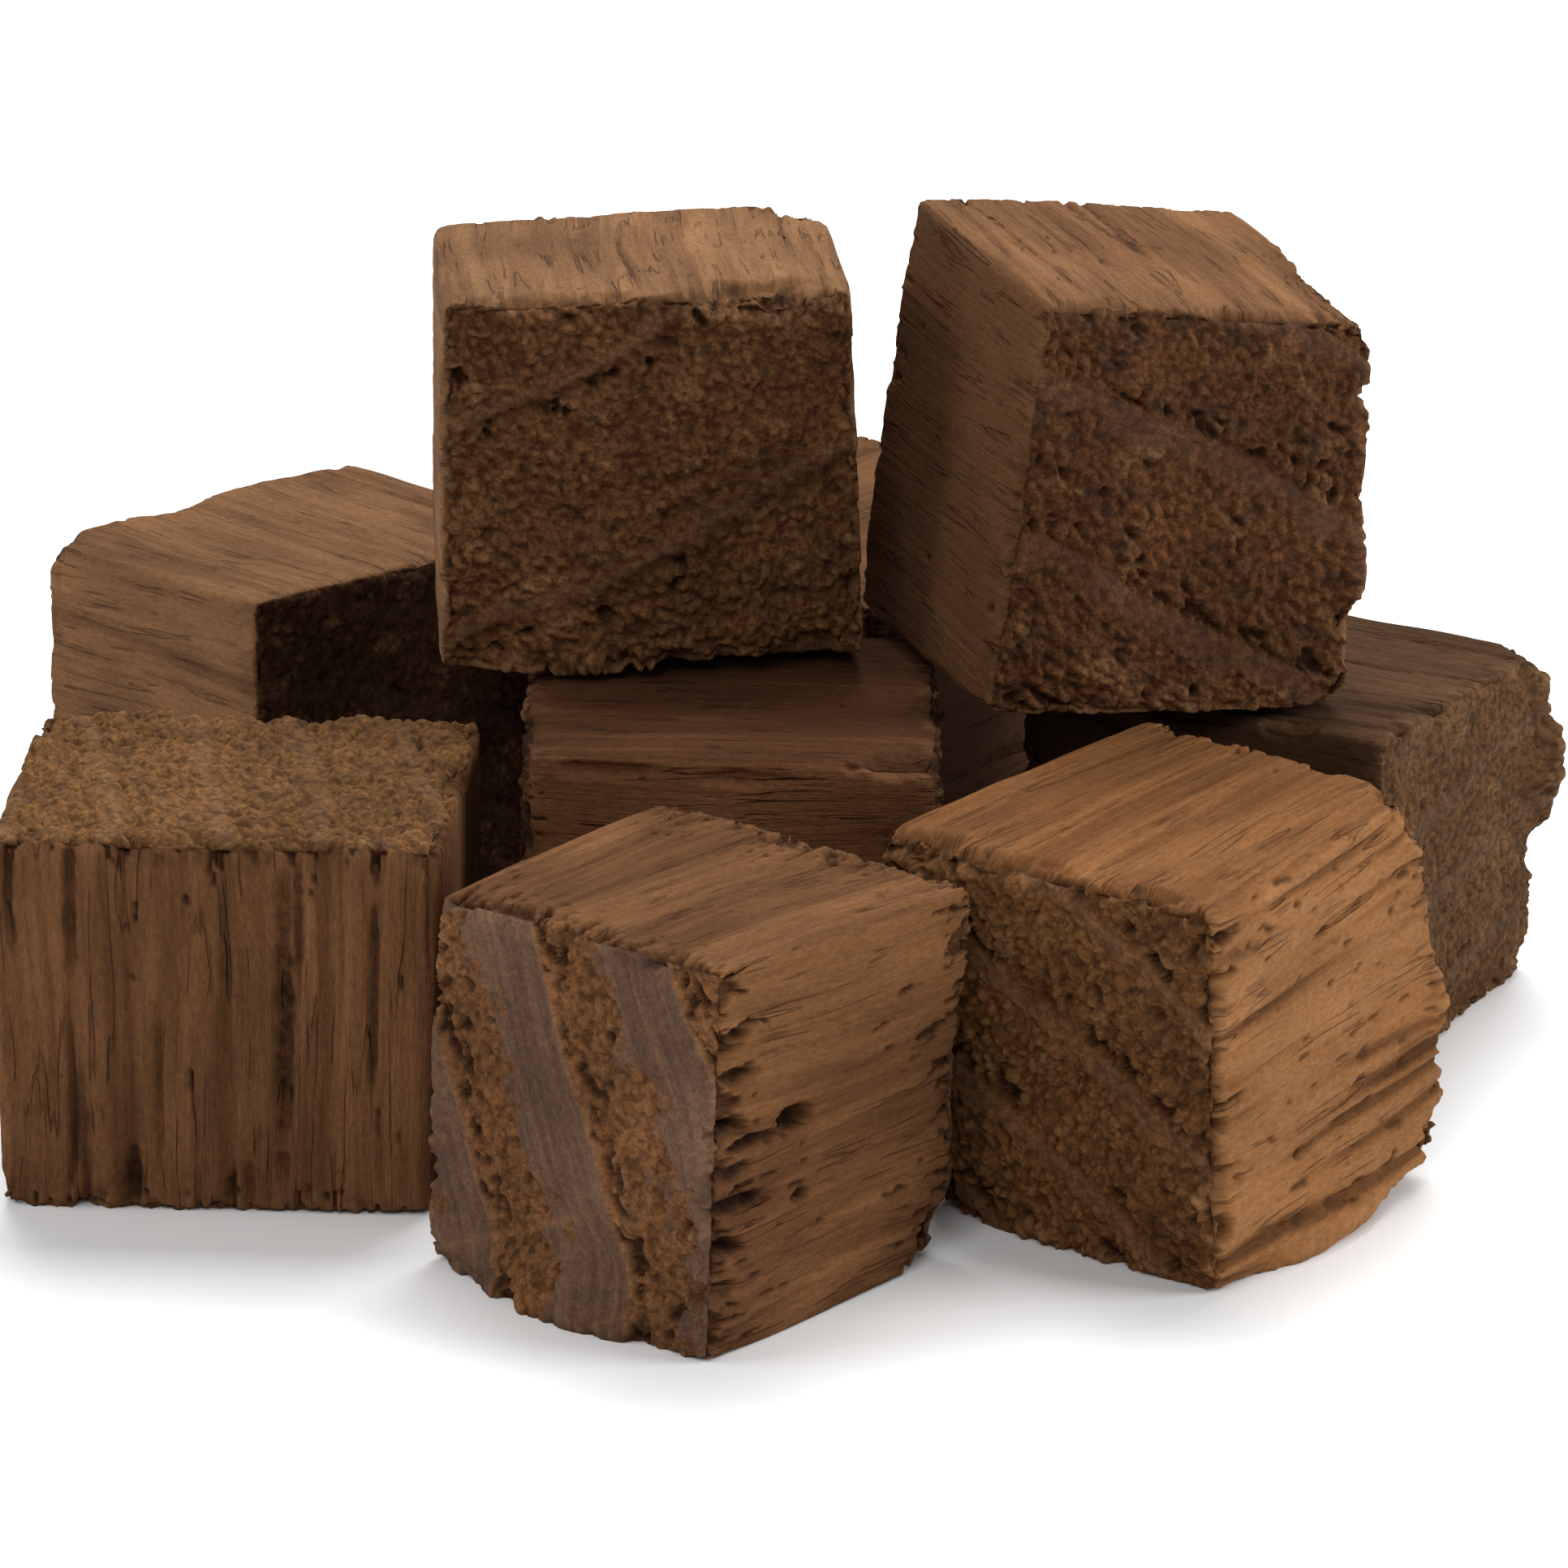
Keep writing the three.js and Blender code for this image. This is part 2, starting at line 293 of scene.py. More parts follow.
def grains(points, seed):
    """How far each point is from the border of its grain, and a number from -1 to 1 for the grain."""
    part, cells = lattice_cells(points, seed, (-1, 0, 1))
    nearest = np.full(len(points), 9.0, np.float32)
    second = nearest.copy()
    number = np.zeros(len(points), np.float32)
    for x in (-1, 0, 1):
        for y in (-1, 0, 1):
            for z in (-1, 0, 1):
                vector = LATTICE_VECTORS[cells[0][x] + cells[1][y] + cells[2][z]]
                distance = np.zeros(len(points), np.float32)
                for axis, step in enumerate((x, y, z)):
                    distance += (step + 0.5 + 0.45 * vector[:, axis] - part[:, axis]) ** 2
                closer = distance < nearest
                second = np.minimum(second, np.where(closer, nearest, distance))
                nearest = np.where(closer, distance, nearest)
                number = np.where(closer, vector[:, 0], number)
    return np.sqrt(second) - np.sqrt(nearest), number


def step_up(low, high, value):
    """0 below low, 1 above high, with a smooth step between. It runs down if low is above high."""
    share = np.clip((value - low) / (high - low), 0, 1)
    return share * share * (3 - 2 * share)


def stretched(across, deep, along, size, length):
    """Places for noise whose features are size across the fibres and length along them."""
    return np.stack([across / size, deep / size, along / length], -1)


# ---------------------------------------------------------------- the CAD solid's own shape

def cad_triangles(node):
    """A CAD node's points in millimetres, with its triangles' normals and areas."""
    mesh = frame["nodes"][node].data
    mesh.calc_loop_triangles()
    points = np.array([v.co for v in mesh.vertices]) / MM
    triangles = np.array([t.vertices for t in mesh.loop_triangles])
    a, b, c = (points[triangles[:, k]] for k in range(3))
    cross = np.cross(b - a, c - a)
    double_area = np.linalg.norm(cross, axis=1)
    return points, cross / np.maximum(double_area, 1e-12)[:, None], double_area


def own_axes(normals, areas):
    """The cube's own x, y and z directions, from the way its flat faces look."""
    top = normals[:, 2] > 0.9
    up = (normals[top] * areas[top, None]).sum(0)
    up /= np.linalg.norm(up)
    side = np.abs(normals[:, 2]) < 0.35
    turn = 4 * np.arctan2(normals[side, 1], normals[side, 0])
    weight = areas[side] ** 2
    angle = math.atan2((weight * np.sin(turn)).sum(), (weight * np.cos(turn)).sum()) / 4
    if angle > math.radians(30):
        angle -= math.pi / 2
    across = np.array([math.cos(angle), math.sin(angle), 0])
    facing = normals @ across
    ends = np.abs(facing) > 0.9
    x = (normals[ends] * (np.sign(facing[ends]) * areas[ends])[:, None]).sum(0)
    x -= (x @ up) * up
    x /= np.linalg.norm(x)
    return np.stack([x, np.cross(up, x), up])


def own_corners(points, axes):
    """The middle of the cube, and its eight corners in its own axes as an array [x][y][z]."""
    local = points @ axes.T
    middle = (local.min(0) + local.max(0)) / 2
    local = local - middle
    corners = np.zeros((2, 2, 2, 3))
    for index in np.ndindex(2, 2, 2):
        sign = np.array(index) * 2 - 1
        fibre_tip_and_highlight = local[(local @ sign).argmax()]
        near = local[np.linalg.norm(local - fibre_tip_and_highlight, axis=1) < CORNER_REACH]
        corners[index] = sign * (near * sign).max(0)
    return middle @ axes, corners


# ---------------------------------------------------------------- the grid

def cube_grid(steps):
    """Points of a cube's surface as whole numbers 0 to steps, its quads, and each quad corner's UV."""
    keys = []
    uvs = []
    count = np.arange(steps)
    u, v = (g.ravel() for g in np.meshgrid(count, count, indexing="ij"))
    ring = [(0, 0), (1, 0), (1, 1), (0, 1)]
    for axis in range(3):
        for high in (0, 1):
            order = ring if high else ring[::-1]
            quads = np.zeros((len(u), 4, 3), np.int64)
            quads[:, :, axis] = high * steps
            chart = np.zeros((len(u), 4, 2))
            for k, (du, dv) in enumerate(order):
                quads[:, k, (axis + 1) % 3] = u + du
                quads[:, k, (axis + 2) % 3] = v + dv
                chart[:, k, 0] = (axis + 0.02 + 0.96 * (u + du) / steps) / 3
                chart[:, k, 1] = (high + 0.02 + 0.96 * (v + dv) / steps) / 2
            keys.append(quads.reshape(-1, 3))
            uvs.append(chart.reshape(-1, 2))
    keys = np.concatenate(keys)
    side = steps + 1
    flat = (keys[:, 0] * side + keys[:, 1]) * side + keys[:, 2]
    unique, index = np.unique(flat, return_inverse=True)
    places = np.stack([unique // side**2, unique // side % side, unique % side], -1)
    return places, index.reshape(-1, 4), np.concatenate(uvs)


GRID_PLACES, GRID_QUADS, GRID_UVS = cube_grid(GRID)


def rounded_block(half, seed):
    """Grid points on a block with worn edges, as shares of its half sizes, with the outward directions."""
    share = GRID_PLACES * (2.0 / GRID) - 1
    share = share * (1 + CROWDING) - CROWDING * share**3
    flat = share * half
    radius = EDGE_ROUND * (1 + 0.5 * noise(flat / 2.5, seed + 5))[:, None]
    core = np.clip(flat, radius - half, half - radius)
    outward = flat - core
    outward /= np.linalg.norm(outward, axis=1)[:, None]
    return (core + outward * radius) / half, outward


def carry(share, corners):
    """Takes shares of the half sizes to places between the eight real corners."""
    place = np.zeros_like(share)
    for index in np.ndindex(2, 2, 2):
        sign = np.array(index) * 2 - 1
        weight = ((1 + share * sign) / 2).prod(-1)
        place += weight[:, None] * corners[index]
    return place


# ---------------------------------------------------------------- oak

def wood_places(cube, place, seed):
    """Places as across, deep and along: two directions across the fibres, and one along them."""
    axis = AXIS[cube["grain"]]
    first, second = [k for k in range(3) if k != axis]
    along = place[:, axis]
    across = place[:, first] + 0.30 * noise(place / 9.0, seed + 1)
    deep = place[:, second] + 0.30 * noise(place / 8.0, seed + 2)
    return across, deep, along


def ring_places(cube, across, deep, along, seed):
    """The radius that each place has in the tree, how far round it is, and how late its wood grew."""
    angle = math.radians(cube["ring_angle"])
    out = across * math.cos(angle) + deep * math.sin(angle)
    round_ = deep * math.cos(angle) - across * math.sin(angle)
    radius = np.hypot(out + RING_CENTRE_DISTANCE, round_) - RING_CENTRE_DISTANCE
    radius = radius + 0.35 * noise(stretched(across, deep, along, 3.5, 16.0), seed + 3)
    phase = (radius / cube["ring_spacing"] + cube["ring_shift"]) % 1.0
    rough = 0.20 * layered(stretched(across, deep, along, 1.5, 8.0), seed + 4, 4, 0.65)
    start = cube.get("late_from", 0.75)
    late = step_up(start, start + 0.1, phase + rough * (1 - start) * 1.8) * step_up(0.995, 0.975, phase)
    return radius, round_, phase, late


def dent_depth(cube, place, grain, half, seed):
    """How deep the cube's own dents go, how much painted shade goes inside them, and how far each place
    stands out.
    """
    depth = np.zeros(len(place), np.float32)
    dark = depth.copy()
    proud = depth.copy()
    ragged = 0.30 * layered(place / 0.8, seed + 6, 3, 0.6)
    stringy = 0.30 * noise(grain, seed + 25)
    for middle, radii, deepest in cube["dents"]:
        gap = (place - np.array(middle) * half) / np.array(radii)
        reach = np.linalg.norm(gap, axis=1)
        if deepest > 0:
            narrow = step_up(0.8, 1.6, deepest / min(radii))
            inside = step_up(1.0, 0.35, reach + 0.7 * ragged + stringy * narrow)
            depth = np.maximum(depth, deepest * inside)
            dark = np.maximum(dark, narrow * inside)
        else:
            proud = np.maximum(proud, -deepest * step_up(1.0, 0.1, reach + 0.3 * ragged))
    return depth, dark, proud


def end_places(cube, place, half):
    """How far each place is from the end grain, and how near it is to an edge and a corner of it."""
    axis = AXIS[cube["grain"]]
    from_end = half[axis] - np.abs(place[:, axis])
    others = [half[k] - np.abs(place[:, k]) for k in range(3) if k != axis]
    edge = np.exp(-(from_end + np.minimum(*others)) / EDGE_ZONE)
    edge *= np.where(place[:, axis] > 0, cube.get("far_end", 1.0), 1.0)
    corner = np.exp(-(from_end + others[0] + others[1]) / 1.0)
    return from_end, edge, corner


def end_grain(cube, place, wood, phase, late, line, edge):
    """Crumbling end grain: its height, its lumps, and which of them are missing."""
    seed = cube["seed"]
    across, deep, along = wood
    warp = 0.22 * layered(place / 0.8, seed + 5, 2, 0.6)
    crumb = stretched(across + warp, deep - warp, along, LUMP_SIZE, 1.8 * LUMP_SIZE)
    lump, number = grains(crumb, seed + 8)
    round_lump = step_up(0.0, 0.5, lump)
    coarse = layered(crumb / 3.0, seed + 10, 3, 0.6)
    smooth = 1 - 0.92 * late * min(1.0, 2 * cube["bands"])
    vessels = step_up(0.0, 0.03, phase) * step_up(0.22, 0.05, phase)
    share = cube["pits"] * (0.6 + 3.2 * vessels + 1.3 * coarse) * (1 - 0.7 * late)
    share += 0.10 * edge * cube["torn"]
    missing = step_up(1 - 2 * share, 1.25 - 2 * share, number) * step_up(0.0, 0.2, lump)
    height = LUMP_HEIGHT * round_lump - 0.08 + END_WAVE * coarse - PIT_DEPTH * missing
    height = height * smooth * cube["relief"] - RING_LINE_DEPTH * line * cube["lines"]
    return dict(
        height=height, lump=lump, round_lump=round_lump, coarse=coarse, smooth=smooth, missing=missing,
    )


def side_grain(cube, place, wood, outward, from_end, side):
    """Streaky side grain: its height, and its ridges, grooves, comb and torn fibres."""
    seed = cube["seed"]
    across, deep, along = wood
    ridge = layered(stretched(across, deep, along, 0.95, 16.0), seed + 13, 2, 0.5)
    fine = noise(stretched(across, deep, along, 0.30, 8.0), seed + 14)
    rough = noise(place / 0.35, seed + 22)
    crack = np.abs(noise(stretched(across, deep, along, 0.9, 24.0), seed + 15)) + 0.05 * rough
    opened = noise(stretched(across, deep, along, 1.5, 14.0), seed + 16) + 0.5 * cube["grooves"]
    groove = step_up(0.16, 0.04, crack) * step_up(0.30, 0.65, opened)
    facing = step_up(0.5, 0.9, outward[:, 0]) * cube.get("ridges", 0)
    comb = 1 - 2 * np.abs(noise(stretched(across, deep, along, 0.62, 14.0), seed + 23))
    holes = noise(stretched(across, deep, along, 0.30, 0.9), seed + 24)
    dots = step_up(0.55, 0.8, holes - 0.3 * comb + 0.20)
    height = SIDE_RIDGE * ridge + SIDE_FINE * fine - GROOVE_DEPTH * groove
    height += facing * (COMB_HEIGHT * comb - COMB_HOLE_DEPTH * dots)

    # fibres are pulled out of the side grain next to the end grain
    pull = layered(stretched(across, deep, along, 0.34, 1.6), seed + 9, 3, 0.6)
    near_end = np.exp(-from_end / cube.get("tear_reach", 0.8))
    tear = step_up(1.0, 1.2, pull + 1.2 * cube["tears"] * near_end) * side
    height -= TEAR_DEPTH * tear
    return dict(
        height=height, ridge=ridge, fine=fine, groove=groove, facing=facing, comb=comb, dots=dots, tear=tear,
    )


def oak(cube, place, outward, half):
    """The height of the wood at each place, and the values that its material reads."""
    seed = cube["seed"]
    wood = across, deep, along = wood_places(cube, place, seed)
    radius, round_, phase, late = ring_places(cube, across, deep, along, seed)
    end = step_up(0.50, 0.80, np.abs(outward[:, AXIS[cube["grain"]]]))
    side = 1 - end
    line = step_up(0.955, 0.985, phase) + step_up(0.05, 0.01, phase)
    from_end, edge, corner = end_places(cube, place, half)
    ends = end_grain(cube, place, wood, phase, late, line, edge)
    sides = side_grain(cube, place, wood, outward, from_end, side)
    coarse = ends["coarse"]
    comb = sides["comb"]

    # the edges of the end grain have pieces broken off
    bite = layered(place / 1.4, seed + 17, 4, 0.62)
    broken = edge * cube["torn"] * step_up(0.0, 0.8, bite)
    height = OUTSET + end * ends["height"] + side * sides["height"]
    height -= BREAK_DEPTH * broken + CORNER_WEAR * corner
    height += 0.06 * noise(place / 5.0, seed + 18)
    height += 0.16 * cube.get("wave", 0) * end * noise(place / 1.9, seed + 19)
    dent, dark, proud = dent_depth(cube, place, stretched(across, deep, along, 0.25, 2.5), half, seed)
    torn_place = step_up(0.12, 0.5, dent)
    height += proud - dent * (1 + 0.5 * coarse) + 0.06 * torn_place * (ends["round_lump"] - 0.5)

    # painted shade in the hollows: crumbled pits, creases, tears, open grooves, dents, broken edges and the
    # grooves between comb ridges
    solid_end = end * ends["smooth"]
    combed = sides["facing"]
    hollow_shade = step_up(0.20, 0.0, ends["lump"]) * (0.30 * solid_end + 0.45 * torn_place)
    hollow_shade += 0.85 * ends["missing"] * solid_end + 0.75 * sides["tear"] + 0.55 * sides["groove"] * side
    hollow_shade = np.clip(hollow_shade + 0.65 * dark + 0.15 * torn_place + 0.4 * broken, 0, 1)
    between = np.maximum(0.75 * sides["dots"], 0.55 * step_up(0.3, -0.2, comb))
    hollow_shade = np.maximum(hollow_shade, combed * side * between)

    # how pale: the tips of broken fibres at the end grain's edges, painted highlight on raised end grain and
    # on comb ridges, and the side grain's lightness, which holds painted light and shade besides its
    # streaks. A torn place near the end grain looks like end grain.
    end = np.maximum(end, torn_place * np.exp(-from_end / 1.2))
    fibre_tip_and_highlight = 0.7 * edge * step_up(0.2, -0.3, bite) + 1.2 * (coarse - 0.2) * end * ends["smooth"]
    fibre_tip_and_highlight = np.clip(fibre_tip_and_highlight + 1.1 * combed * step_up(0.1, 0.9, comb), 0, 1) * (1 - hollow_shade)
    tone_and_painted_light = 0.5 + 0.18 * sides["ridge"] + 0.20 * sides["fine"] + 0.12 * noise(place / 4.5, seed + 20)
    # painted highlight on the comb ridges, and painted shade between them
    tone_and_painted_light += 0.25 * combed * (comb - 0.4)
    # painted light and shade on whole faces, by the direction that each one faces
    for direction, amount in cube.get("painted_face_shading", []):
        tone_and_painted_light += amount * step_up(0.5, 0.9, outward @ np.array(direction))
    ray = step_up(0.45, 0.75, noise(np.stack([round_ / 0.30, radius / 6.0, along / 2.2], -1), seed + 21))
    return height, dict(
        grain=np.stack([across, deep, along], -1),
        rings=np.stack([radius, round_, late], -1),
        face=np.stack([end, hollow_shade, fibre_tip_and_highlight], -1),
        marks=np.stack([np.clip(tone_and_painted_light, -0.6, 1.6), line * (1 - ends["missing"]), ray], -1),
    )


# ---------------------------------------------------------------- material

def add(tree, kind, inputs=None, **settings):
    """Adds a node, with its settings, and its inputs as values or as other nodes' sockets."""
    node = tree.nodes.new(kind)
    for name, value in settings.items():
        setattr(node, name, value)
    for key, value in (inputs or {}).items():
        if isinstance(value, bpy.types.NodeSocket):
            tree.links.new(value, node.inputs[key])
        else:
            node.inputs[key].default_value = value
    return node


def math_node(tree, operation, first, second=0.0, clamp=False):
    inputs = {0: first, 1: second}
    return add(tree, "ShaderNodeMath", inputs, operation=operation, use_clamp=clamp).outputs[0]


def times(tree, first, second):
    return math_node(tree, "MULTIPLY", first, second)


def mix_colour(tree, share, first, second):
    inputs = {0: share}
    for index, colour in ((6, first), (7, second)):
        inputs[index] = colour if isinstance(colour, bpy.types.NodeSocket) else (*colour, 1)
    return add(tree, "ShaderNodeMix", inputs, data_type="RGBA", clamp_factor=True).outputs[2]


def tint(tree, colour, factors):
    return add(tree, "ShaderNodeVectorMath", {0: colour, 1: factors}, operation="MULTIPLY").outputs[0]


def shade(tree, colour, factor):
    return add(tree, "ShaderNodeVectorMath", {0: colour, "Scale": factor}, operation="SCALE").outputs[0]


def attribute_parts(tree, name):
    source = add(tree, "ShaderNodeAttribute", attribute_name=name)
    return add(tree, "ShaderNodeSeparateXYZ", {0: source.outputs["Vector"]}).outputs


def wood_vector(tree, attribute, scale, seed):
    """The wood's own directions as a texture vector, with scale in cycles to the millimetre for each."""
    source = add(tree, "ShaderNodeAttribute", attribute_name=attribute)
    shift = (seed, seed * 0.37, seed * 0.71)
    inputs = {"Vector": source.outputs["Vector"], "Scale": scale, "Location": shift}
    return add(tree, "ShaderNodeMapping", inputs).outputs[0]


def fine_noise(tree, attribute, scale, seed, detail=3.0, rough=0.6):
    vector = wood_vector(tree, attribute, scale, seed)
    inputs = {"Vector": vector, "Scale": 1.0, "Detail": detail, "Roughness": rough}
    return add(tree, "ShaderNodeTexNoise", inputs, noise_dimensions="3D").outputs[0]


def fine_crumbs(tree, scale, seed):
    """Distance from the middle of the nearest crumb, in crumbs of uneven shape."""
    vector = wood_vector(tree, "grain", scale, seed)
    inputs = {"Vector": vector, "Scale": 1.6, "Detail": 2.0, "Roughness": 0.6}
    stir = add(tree, "ShaderNodeTexNoise", inputs, noise_dimensions="3D").outputs["Color"]
    inputs = {0: stir, 1: (0.7, 0.7, 0.7), 2: vector}
    moved = add(tree, "ShaderNodeVectorMath", inputs, operation="MULTIPLY_ADD")
    return add(tree, "ShaderNodeTexVoronoi", {"Vector": moved.outputs[0], "Scale": 1.0}).outputs["Distance"]


def remap(tree, value, low, high, to_low=0.0, to_high=1.0):
    inputs = {"Value": value, "From Min": low, "From Max": high, "To Min": to_low, "To Max": to_high}
    return add(tree, "ShaderNodeMapRange", inputs, interpolation_type="SMOOTHSTEP").outputs[0]


def end_colour(tree, cube, speck, crease_shade, late, line, ray):
    """End grain: crumbling early wood, and late wood that is greyer, smoother and finely lined."""
    seed = cube["seed"]
    saw = fine_noise(tree, "rings", (3.6, 0.22, 0.0), seed + 21, 4.0, 0.7)
    blotch = fine_noise(tree, "grain", (0.9, 0.9, 0.5), seed + 25, 4.0, 0.65)
    early = mix_colour(tree, remap(tree, speck, 0.26, 0.74), END_DARK, END_LIGHT)
    patches = times(tree, remap(tree, blotch, 0.50, 0.66), cube.get("patches", 0.12))
    early = mix_colour(tree, patches, early, BAND_DARK)
    # painted shade in the creases between crumbs
    early = shade(tree, early, remap(tree, crease_shade, 0.0, 1.0, 1.08, 0.62))
    band = mix_colour(tree, remap(tree, saw, 0.35, 0.66), BAND_DARK, BAND_LIGHT)
    band = mix_colour(tree, times(tree, remap(tree, saw, 0.62, 0.72), 0.35), band, END_LIGHT)
    band = shade(tree, band, remap(tree, speck, 0.3, 0.7, 0.82, 1.16))
    colour = mix_colour(tree, times(tree, late, min(1.0, 0.95 * cube["bands"])), early, band)
    colour = mix_colour(tree, times(tree, ray, 0.16 * cube["bands"]), colour, RAY)
    line_colour = PALE_TIP_AND_HIGHLIGHT if cube["bands"] > 0.9 else END_DARK
    colour = mix_colour(tree, times(tree, line, 0.75 * cube["lines"]), colour, line_colour)
    return tint(tree, colour, cube["end_tint_and_shade"])


def side_colour(tree, cube, fibre, slit, tone_and_painted_light, late):
    """Side grain: long streaks of fibre, with thin dark slits where vessels are cut open."""
    broad = fine_noise(tree, "grain", (0.8, 0.8, 0.05), cube["seed"] + 9, 3.0, 0.6)
    # the lightness used here holds the painted light and shade on whole faces and comb ridges besides the
    # streaks
    share = math_node(tree, "ADD", times(tree, tone_and_painted_light, 0.50), times(tree, broad, 0.28))
    share = math_node(tree, "ADD", share, times(tree, fibre, 0.54))
    share = math_node(tree, "SUBTRACT", share, times(tree, late, 0.12))
    colour = mix_colour(tree, remap(tree, share, 0.40, 0.88), SIDE_DARK, SIDE_LIGHT)
    colour = mix_colour(tree, slit, colour, SLIT)
    return tint(tree, colour, cube["side_tint_and_shade"])


def oak_material(name, cube):
    """Toasted oak: crumbling ringed end grain, streaked side grain, painted shade in pits and hollows, and
    pale fibre tips with painted highlight on raised places.
    """
    material = bpy.data.materials.new(name)
    material.use_nodes = True
    tree = material.node_tree
    tree.nodes.clear()
    seed = cube["seed"]
    late = attribute_parts(tree, "rings")[2]
    end, hollow_shade, fibre_tip_and_highlight = attribute_parts(tree, "face")
    tone_and_painted_light, line, ray = attribute_parts(tree, "marks")

    speck = fine_noise(tree, "grain", (4.5, 4.5, 2.2), seed, 5.0, 0.72)
    crumbs = fine_crumbs(tree, (3.3, 3.3, 1.8), seed + 17)
    crease_shade = remap(tree, crumbs, 0.40, 0.80)
    fibre = fine_noise(tree, "grain", (4.5, 4.5, 0.20), seed + 3, 5.0, 0.70)
    fuzz = fine_noise(tree, "grain", (9.0, 9.0, 3.5), seed + 5, 3.0, 0.7)
    vessel = fine_noise(tree, "grain", (1.6, 1.6, 0.09), seed + 7, 2.0, 0.5)
    vessel = math_node(tree, "ABSOLUTE", math_node(tree, "SUBTRACT", vessel, 0.5))
    shown = fine_noise(tree, "grain", (0.9, 0.9, 0.45), seed + 11, 2.0, 0.5)
    slit = times(tree, remap(tree, vessel, 0.022, 0.004), remap(tree, shown, 0.46, 0.62))
    patch = fine_noise(tree, "grain", (0.30, 0.30, 0.16), seed + 13, 3.0, 0.5)

    ends = end_colour(tree, cube, speck, crease_shade, late, line, ray)
    sides = side_colour(tree, cube, fibre, times(tree, slit, 0.28), tone_and_painted_light, late)
    wood = mix_colour(tree, end, sides, ends)
    # pale fibre tips, with painted highlight on raised end grain and comb ridges
    pale = times(tree, fibre_tip_and_highlight, remap(tree, speck, 0.35, 0.6))
    wood = mix_colour(tree, times(tree, pale, 0.55), wood, PALE_TIP_AND_HIGHLIGHT)
    # near black painted shade in the hollows
    wood = mix_colour(tree, times(tree, hollow_shade, 0.88), wood, PAINTED_HOLLOW_SHADE)
    wood = shade(tree, wood, remap(tree, patch, 0.25, 0.75, 0.82, 1.18))
    wood = shade(tree, wood, remap(tree, fuzz, 0.25, 0.75, 0.80, 1.20))

    # fine relief, in shares of BUMP_HEIGHT; the late wood of a strongly banded cube is smooth
    side_relief = math_node(tree, "SUBTRACT", fibre, slit)
    side_relief = math_node(tree, "ADD", side_relief, times(tree, fuzz, 0.45))
    crumbled = math_node(tree, "SUBTRACT", 1.0, times(tree, late, 0.9 * min(1.0, 2 * cube["bands"])))
    end_relief = math_node(tree, "SUBTRACT", times(tree, speck, 0.8), times(tree, crumbs, 1.0))
    end_relief = math_node(tree, "ADD", times(tree, end_relief, crumbled), times(tree, fuzz, 0.3))
    inputs = {0: end, 2: side_relief, 3: end_relief}
    relief = add(tree, "ShaderNodeMix", inputs, data_type="FLOAT").outputs[0]
    bump = add(tree, "ShaderNodeBump", {"Height": relief, "Strength": 1.0, "Distance": BUMP_HEIGHT})

    surface = add(tree, "ShaderNodeBsdfPrincipled", {
        "Base Color": wood, "Roughness": WOOD_ROUGHNESS, "Specular IOR Level": WOOD_SHINE,
        "Normal": bump.outputs[0],
    })
    output = add(tree, "ShaderNodeOutputMaterial")
    tree.links.new(surface.outputs[0], output.inputs[0])
    return material


# ---------------------------------------------------------------- pieces

def grid_mesh(name, points, values):
    """A closed mesh of the grid's quads, with the wood's values at its points."""
    mesh = bpy.data.meshes.new(name)
    mesh.vertices.add(len(points))
    mesh.vertices.foreach_set("co", points.astype(np.float32).ravel())
    mesh.loops.add(GRID_QUADS.size)
    mesh.loops.foreach_set("vertex_index", GRID_QUADS.astype(np.int32).ravel())
    mesh.polygons.add(len(GRID_QUADS))
    mesh.polygons.foreach_set("loop_start", np.arange(0, GRID_QUADS.size, 4, dtype=np.int32))
    mesh.polygons.foreach_set("use_smooth", np.ones(len(GRID_QUADS), bool))
    mesh.update(calc_edges=True)
    layer = mesh.uv_layers.new(name="OFBake")
    layer.data.foreach_set("uv", GRID_UVS.astype(np.float32).ravel())
    for key, value in values.items():
        attribute = mesh.attributes.new(key, "FLOAT_VECTOR", "POINT")
        attribute.data.foreach_set("vector", value.astype(np.float32).ravel())
    return mesh


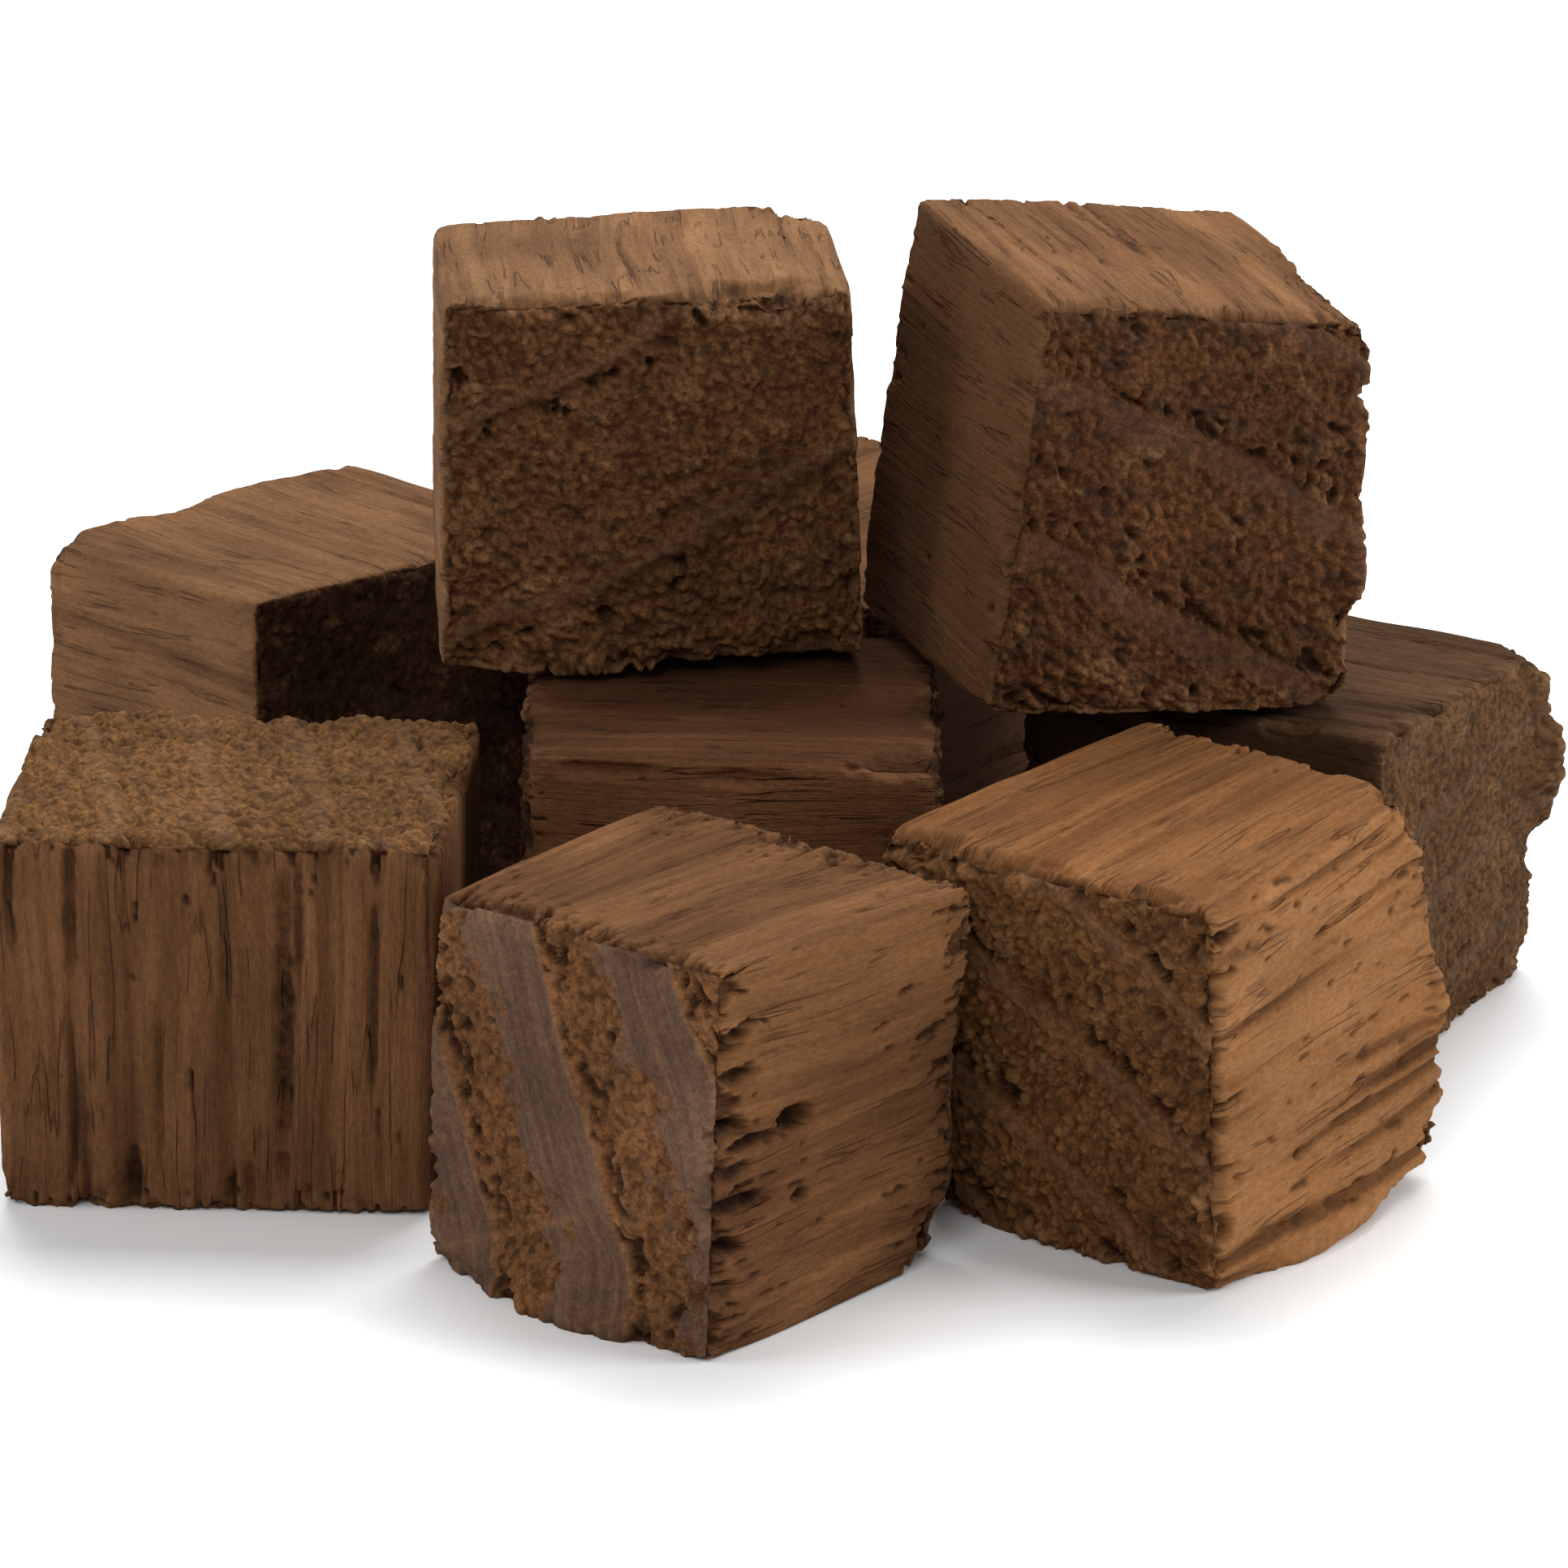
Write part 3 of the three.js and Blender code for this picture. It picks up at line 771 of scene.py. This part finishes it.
def oak_cube(node, cube):
    """The finished cube that stands for a CAD node."""
    points, normals, areas = cad_triangles(node)
    axes = own_axes(normals, areas)
    middle, corners = own_corners(points, axes)
    half = np.abs(corners).mean((0, 1, 2))
    share, outward = rounded_block(half, cube["seed"])
    height, values = oak(cube, share * half, outward, half)
    local = carry(share, corners) + outward * height[:, None]
    places = middle + local @ axes
    places[:, 2] = np.maximum(places[:, 2], 0)  # nothing sinks into the table
    mesh = grid_mesh(node.replace("_cube", "_oak"), places * MM, values)
    piece = bpy.data.objects.new(mesh.name, mesh)
    bpy.context.scene.collection.objects.link(piece)
    mesh.materials.append(oak_material(mesh.name, cube))
    return piece


def build_cubes():
    record = frame["record"]
    bodies = {node: body for body, nodes in record["behaviour"]["bodies"].items() for node in nodes}
    for node, cube in CUBES.items():
        piece = oak_cube(node, cube)
        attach(piece, bodies[node])
        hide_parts(node)


# ---------------------------------------------------------------- stage

def plain_material(name, colour, roughness):
    material = bpy.data.materials.new(name)
    material.use_nodes = True
    surface = material.node_tree.nodes["Principled BSDF"]
    surface.inputs["Base Color"].default_value = (*colour, 1)
    surface.inputs["Roughness"].default_value = roughness
    return material


def build_floor():
    bpy.ops.mesh.primitive_plane_add(size=FLOOR_SIZE)
    floor = bpy.context.object
    floor.name = "floor"
    floor.data.materials.append(plain_material("floor", FLOOR_COLOUR, FLOOR_ROUGHNESS))


def build_light(name, place, size, power):
    data = bpy.data.lights.new(name, "AREA")
    data.shape = "SQUARE"
    data.size = size
    data.energy = power
    light = bpy.data.objects.new(name, data)
    light.location = place
    light.rotation_euler = (Vector(LIGHT_AIM) - Vector(place)).to_track_quat("-Z", "Y").to_euler()
    bpy.context.scene.collection.objects.link(light)


def build_lights():
    for name, (place, size, power) in LIGHTS.items():
        build_light(name, place, size, power)
    bpy.context.scene.view_settings.view_transform = "Standard"
    world = bpy.data.worlds.new("studio")
    world.use_nodes = True
    background = world.node_tree.nodes["Background"]
    background.inputs["Color"].default_value = (1, 1, 1, 1)
    background.inputs["Strength"].default_value = SKY_STRENGTH
    bpy.context.scene.world = world


def build_camera():
    data = bpy.data.cameras.new("camera")
    data.lens = CAMERA_LENS
    data.sensor_width = CAMERA_SENSOR
    data.clip_start = 0.01
    back = Vector((0, -math.cos(CAMERA_ELEVATION), math.sin(CAMERA_ELEVATION)))
    camera = bpy.data.objects.new("camera", data)
    camera.location = CAMERA_AIM + back * CAMERA_DISTANCE
    camera.rotation_euler = (math.pi / 2 - CAMERA_ELEVATION, 0, 0)
    bpy.context.scene.collection.objects.link(camera)
    bpy.context.scene.camera = camera


build_camera()
build_lights()
build_floor()
build_cubes()
